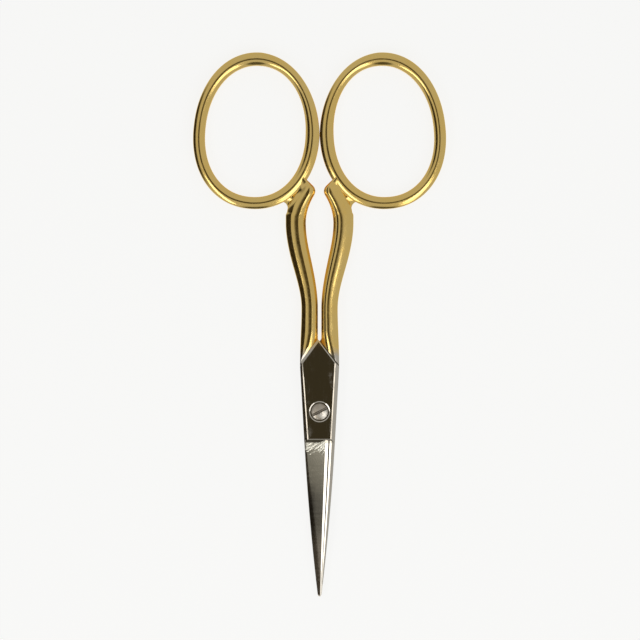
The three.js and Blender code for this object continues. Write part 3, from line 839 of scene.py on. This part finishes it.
# Depth of the fine relief in millimetres
GOLD_WAVES = 0.02
GOLD_GRAIN = 0.0006
MIRROR_WAVES = 0.004
GRINDING_LINES = 0.0003
BURR_SCRATCHES = 0.15
TURNING_RINGS = 0.0005
RING_TURN = 60.0  # radians of the rings' wave per millimetre

# Fades from one finish to the next, in millimetres from the pivot along Y, or along X where a name says so.
# A ragged border wanders by the amount given below its fade.
PLATING_FADE = (10.2, 12.2)  # from nickel to gold at the end of a handle
PLATING_RAGGED = 1.6
GILDED_FADE = (10.3, 13.3)  # gold that has crept over the plate's apex
SMEAR_FADE_X = (0.4, 2.0)  # smears lie towards the plate's sides
WAVE_FADE = (-8.0, -5.0)  # the plate is a little uneven, the blade is not
BURR_CENTRE = (2.4, -4.2)  # X and Y of the corner that the burr's scratches fan out from
BURR_FADE = (-5.6, -5.1)
BURR_RAGGED = 3.0
PAINTED_REFLECTION_FADE = (-9.5, -15.5)  # painted dark reflection over the middle of the ground face
PAINTED_REFLECTION_RAGGED = 3.0
PAINTED_REFLECTION_END = (-25.0, -17.0)  # it clears again before the tip
DEEP_REFLECTION_FADE_X = (-0.5, -1.3)  # the painted dark reflection is deepest beside the cutting edge
TIP_FADE = (-20.0, -26.0)  # to the bright tip


def gilt_metal():
    """Gold plate: slow changes of tone, a hand-polished surface, and a fade to nickel at the plate."""
    made, tree, place_mm, (_, y, _) = new_material("gilt")
    tone = ramp(tree, clouds(tree, place_mm, cells=0.15), low=0.35, high=0.65)
    gold = blend(tree, tone, PALE_GOLD, GOLD)
    warmth = ramp(tree, clouds(tree, place_mm, cells=0.8, detail=4.0), low=0.55, high=0.75, end=0.6)
    gold = blend(tree, warmth, gold, WARM_GOLD)
    border = ragged(tree, y, clouds(tree, place_mm, cells=1.2, detail=3.0), PLATING_RAGGED)
    colour = blend(tree, ramp(tree, border, *PLATING_FADE), NICKEL, gold)
    least, most = GOLD_ROUGHNESS
    polish = clouds(tree, place_mm, cells=2.0, detail=4.0)
    rough = ramp(tree, polish, low=0.3, high=0.75, start=least, end=most)
    waves = relief_map(tree, clouds(tree, place_mm, cells=0.35, detail=1.0), GOLD_WAVES)
    normal = relief_map(tree, clouds(tree, place_mm, cells=5.0, detail=3.0), GOLD_GRAIN, waves)
    finish_metal(tree, colour, rough, normal)
    return made


def mirror_finish(tree, place_mm, x, y):
    """Mirror of the plate: handling marks, bevels painted darker as shade, and gold that has crept over the
    apex.
    """
    smears = ramp(tree, clouds(tree, place_mm, cells=(0.9, 0.5, 1.0), detail=5.0), low=0.42, high=0.68)
    smears = product(tree, smears, ramp(tree, calculate(tree, "ABSOLUTE", x), *SMEAR_FADE_X))
    hairs = clouds(tree, place_mm, cells=(7.0, 0.25, 1.0), detail=3.0)
    hairlines = ramp(tree, hairs, low=0.56, high=0.66, end=0.4)
    marks = calculate(tree, "MAXIMUM", smears, hairlines)
    gilded = ramp(tree, y, *GILDED_FADE)
    rough = calculate(tree, "MULTIPLY_ADD", marks, MARK_ROUGHNESS, MIRROR_ROUGHNESS)
    rough = blend(tree, gilded, rough, GILDED_ROUGHNESS)
    # painted shade: the plate's bevels are coloured darker, in patches, which dims the lamps' reflection in
    # them
    bevel_shade = ramp(tree, clouds(tree, place_mm, cells=1.5, detail=3.0), low=0.3, high=0.6, start=0.8)
    colour = blend(tree, product(tree, face_mark(tree, SHADED_BEVEL_MARK), bevel_shade), NICKEL, SHADED_BEVEL_NICKEL)
    colour = blend(tree, gilded, colour, WARM_GOLD)
    waves = product(tree, clouds(tree, place_mm, cells=0.4, detail=1.0), ramp(tree, y, *WAVE_FADE))
    return colour, rough, relief_map(tree, waves, MIRROR_WAVES)


def satin_finish(tree, place_mm, x, y):
    """Satin of the ground face: faint lines across the blade, a painted dark reflection over its middle and
    a bright tip.
    """
    least, most = SATIN_ROUGHNESS
    lines = clouds(tree, place_mm, cells=(0.25, 2.5, 0.25), detail=3.0)
    rough = ramp(tree, lines, low=0.3, high=0.7, start=least, end=most)
    # painted dark reflection: the middle of the ground face is coloured darker, deepest beside the cutting
    # edge
    border = ragged(tree, y, clouds(tree, place_mm, cells=0.4), PAINTED_REFLECTION_RAGGED)
    dark_reflection = product(tree, ramp(tree, border, *PAINTED_REFLECTION_FADE), ramp(tree, y, *PAINTED_REFLECTION_END))
    colour = blend(tree, dark_reflection, GROUND_NICKEL, PAINTED_REFLECTION_NICKEL)
    deep_reflection = product(tree, dark_reflection, ramp(tree, x, *DEEP_REFLECTION_FADE_X))
    colour = blend(tree, deep_reflection, colour, DEEP_PAINTED_REFLECTION_NICKEL)
    colour = blend(tree, ramp(tree, y, *TIP_FADE), colour, TIP_NICKEL)
    return colour, rough, relief_map(tree, lines, GRINDING_LINES)


def burr_finish(tree, x, y):
    """Torn burr under the heel: where it lies, and its finish of scratches that fan out from a corner."""
    across = calculate(tree, "SUBTRACT", x, BURR_CENTRE[0])
    along = calculate(tree, "SUBTRACT", y, BURR_CENTRE[1])
    turn = calculate(tree, "ARCTAN2", along, across)
    run = length_of(tree, across, along)
    fan = node(tree, "ShaderNodeCombineXYZ", {"X": turn, "Y": run}).outputs["Vector"]
    scratches = clouds(tree, fan, cells=(12.0, 0.6, 1.0), detail=3.0)
    share = ramp(tree, ragged(tree, y, scratches, BURR_RAGGED), *BURR_FADE)
    colour = blend(tree, ramp(tree, scratches, low=0.36, high=0.5), DARK_BURR, BRIGHT_BURR)
    return share, (colour, BURR_ROUGHNESS, relief_map(tree, scratches, BURR_SCRATCHES))


def nickel_metal():
    """Nickel plate: a mirror on the plate, ground satin on the blade with a rough burr at the heel."""
    made, tree, place_mm, (x, y, _) = new_material("nickel")
    ground = face_mark(tree, GROUND_MARK)
    mirror = mirror_finish(tree, place_mm, x, y)
    satin = satin_finish(tree, place_mm, x, y)
    burr_share, burr = burr_finish(tree, x, y)
    torn = product(tree, burr_share, ground)
    smooth = [blend(tree, ground, on_plate, on_blade) for on_plate, on_blade in zip(mirror, satin)]
    finish_metal(tree, *[blend(tree, torn, plain, rough) for plain, rough in zip(smooth, burr)])
    return made


def turned_steel():
    """Steel turned on a lathe: fine rings and stains, painted shade in the slot, and the slot and the half
    above it rougher and painted darker as shade.
    """
    made, tree, place_mm, (x, y, z) = new_material("screw_steel")
    stains = ramp(tree, clouds(tree, place_mm, cells=1.1, detail=3.0), low=0.4, high=0.65)
    colour = blend(tree, stains, STEEL, STAINED_AND_SHADED_STEEL)
    slot_side = SLOT_WIDTH / 2
    slot_turn = math.radians(SLOT_ANGLE_DEG)
    sideways = product(tree, x, -math.sin(slot_turn))
    above_slot = calculate(tree, "MULTIPLY_ADD", y, math.cos(slot_turn), sideways)
    # painted shade: the slot and the half of the head above it are coloured darker, and made rougher
    shaded_rough_half = ramp(tree, above_slot, -slot_side, SLOT_TAPER - slot_side)
    colour = blend(tree, product(tree, shaded_rough_half, SHADED_HALF_SHARE), colour, STAINED_AND_SHADED_STEEL)
    # painted shade in the slot: darkest in its corners and deep down
    from_middle = calculate(tree, "ABSOLUTE", above_slot)
    corner = ramp(tree, from_middle, low=0.0, high=slot_side, start=SLOT_MIDDLE_SHADE)
    deep = ramp(tree, z, PLATE_TOP, PLATE_TOP - SLOT_DEPTH / 2)
    colour = blend(tree, product(tree, corner, deep), colour, SLOT_PAINTED_SHADE)
    least, most = STEEL_ROUGHNESS
    grain = clouds(tree, place_mm, cells=3.0, detail=3.0)
    rough = ramp(tree, grain, low=0.3, high=0.7, start=least, end=most)
    rough = blend(tree, shaded_rough_half, rough, DULL_ROUGHNESS)
    rings = calculate(tree, "SINE", product(tree, length_of(tree, x, y), RING_TURN))
    normal = relief_map(tree, rings, TURNING_RINGS)
    tangent = node(tree, "ShaderNodeTangent", direction_type="RADIAL", axis="Z").outputs["Tangent"]
    finish_metal(tree, colour, rough, normal, Anisotropic=STEEL_ANISOTROPY, Tangent=tangent)
    return made


gilt = gilt_metal()
nickel = nickel_metal()
steel = turned_steel()

place(handle("front_handle_gilt"), "front_handle", "front_half", gilt, HANDLE_SHARP_DEG)
place(handle("rear_handle_gilt"), "rear_handle", "rear_half", gilt, HANDLE_SHARP_DEG,
      turned_over=True)
place(blade("front_blade_nickel", counterbored=True), "front_blade", "front_half", nickel,
      BLADE_SHARP_DEG)
place(blade("rear_blade_nickel", counterbored=False), "rear_blade", "rear_half", nickel,
      BLADE_SHARP_DEG, turned_over=True)
place(screw("slotted_screw"), "pivot_screw", "rear_half", steel, SCREW_SHARP_DEG)


# Stage
FLOOR_SIZE = 3.0
FLOOR_WHITE = (1.0, 1.0, 0.99)
FLOOR_GLOW = 0.84


def floor():
    """Pale floor: an even white for the camera and for reflections, over paint that takes shadows."""
    half = FLOOR_SIZE / 2
    corners = [(-half, -half, 0), (half, -half, 0), (half, half, 0), (-half, half, 0)]
    made = object_of("floor", corners, [(0, 1, 2, 3)])
    material = bpy.data.materials.new("floor")
    material.use_nodes = True
    tree = material.node_tree
    tree.nodes.clear()
    rays = node(tree, "ShaderNodeLightPath").outputs
    seen = calculate(tree, "MAXIMUM", rays["Is Camera Ray"], rays["Is Glossy Ray"])
    seen = calculate(tree, "MAXIMUM", seen, rays["Is Transmission Ray"])
    paint = node(tree, "ShaderNodeBsdfDiffuse", {"Color": (*FLOOR_WHITE, 1)})
    glow = node(tree, "ShaderNodeEmission", {"Color": (*FLOOR_WHITE, 1)})
    share = product(tree, seen, FLOOR_GLOW)
    layers = {0: share, 1: paint.outputs["BSDF"], 2: glow.outputs["Emission"]}
    mixed = node(tree, "ShaderNodeMixShader", layers)
    node(tree, "ShaderNodeOutputMaterial", {"Surface": mixed.outputs["Shader"]})
    made.data.materials.append(material)


def strip_lamp(name, place_mm, length_mm, width_mm, radiance):
    """Lamp that lies along Y and is tilted to face the scissors; its place is given from the pivot."""
    data = bpy.data.lights.new(name, "AREA")
    data.shape = "RECTANGLE"
    data.size = length_mm * MM
    data.size_y = width_mm * MM
    data.energy = radiance * math.pi * data.size * data.size_y
    made = bpy.data.objects.new(name, data)
    made.location = pivot + Vector(place_mm) * MM
    aim = Vector((-place_mm[0], 0, -place_mm[2]))
    made.rotation_euler = aim.to_track_quat("-Z", "Y").to_euler()
    made.visible_camera = False
    bpy.context.scene.collection.objects.link(made)


def direction(azimuth_deg, zenith_deg):
    azimuth = math.radians(azimuth_deg)
    zenith = math.radians(zenith_deg)
    return (math.sin(zenith) * math.cos(azimuth), math.sin(zenith) * math.sin(azimuth), math.cos(zenith))


def patch(tree, towards, azimuth_deg, zenith_deg, spread, softness):
    """Share of a soft patch in a direction: 1 within its spread along each axis, 0 well outside."""
    offset = calculate_vector(tree, "SUBTRACT", towards, direction(azimuth_deg, zenith_deg))
    scaled = calculate_vector(tree, "DIVIDE", offset, spread)
    distance = node(tree, "ShaderNodeVectorMath", {0: scaled}, operation="LENGTH").outputs["Value"]
    return ramp(tree, distance, 1 - softness, 1 + softness, start=1.0, end=0.0)


PALE_ROOM = (0.5, 0.5, 0.49)
DIM_ROOM = (0.08, 0.077, 0.06)
DARK_CEILING = (0.05, 0.041, 0.022)
DARK_SIDE = (0.026, 0.02, 0.012)


def surroundings():
    """Even light all round, with a dark ceiling, a dark side and a dim room beyond the points."""
    world = bpy.data.worlds.new("surroundings")
    bpy.context.scene.world = world
    world.use_nodes = True
    tree = world.node_tree
    tree.nodes.clear()
    towards = node(tree, "ShaderNodeTexCoord").outputs["Generated"]
    ceiling = patch(tree, towards, azimuth_deg=180, zenith_deg=4, spread=(0.19, 0.19, 0.19), softness=0.45)
    side = patch(tree, towards, azimuth_deg=180, zenith_deg=58, spread=(0.5, 0.45, 0.22), softness=0.3)
    room = patch(tree, towards, azimuth_deg=-90, zenith_deg=62, spread=(0.2, 0.5, 0.25), softness=0.2)
    colour = blend(tree, ceiling, PALE_ROOM, DARK_CEILING)
    colour = blend(tree, side, colour, DARK_SIDE)
    colour = blend(tree, room, colour, DIM_ROOM)
    shader = node(tree, "ShaderNodeBackground", {"Color": colour})
    node(tree, "ShaderNodeOutputWorld", {"Surface": shader.outputs["Background"]})


# The camera stands straight above, with the photograph's frame
PHOTO_SCALE = 0.17483  # millimetres per pixel
PHOTO_WIDTH = 640
PHOTO_PIVOT_PX = (319.6, 411.5)
LENS = 200.0
SENSOR = 36.0


def stand_camera():
    half_frame = PHOTO_WIDTH / 2
    across = (half_frame - PHOTO_PIVOT_PX[0]) * PHOTO_SCALE
    along = (PHOTO_PIVOT_PX[1] - half_frame) * PHOTO_SCALE
    height = LENS / SENSOR * PHOTO_WIDTH * PHOTO_SCALE
    data = bpy.data.cameras.new("camera")
    data.lens = LENS
    data.sensor_width = SENSOR
    made = bpy.data.objects.new("camera", data)
    made.location = pivot + Vector((across, along, height)) * MM
    bpy.context.scene.collection.objects.link(made)
    bpy.context.scene.camera = made


floor()
strip_lamp("left_lamp", place_mm=(-118, -103, 213), length_mm=194, width_mm=51, radiance=2.3)
strip_lamp("right_lamp", place_mm=(118, -117, 209), length_mm=207, width_mm=73, radiance=1.25)
strip_lamp("upper_lamp", place_mm=(118, -98, 380), length_mm=200, width_mm=49, radiance=2.3)
surroundings()
stand_camera()
bpy.context.scene.view_settings.view_transform = "Standard"
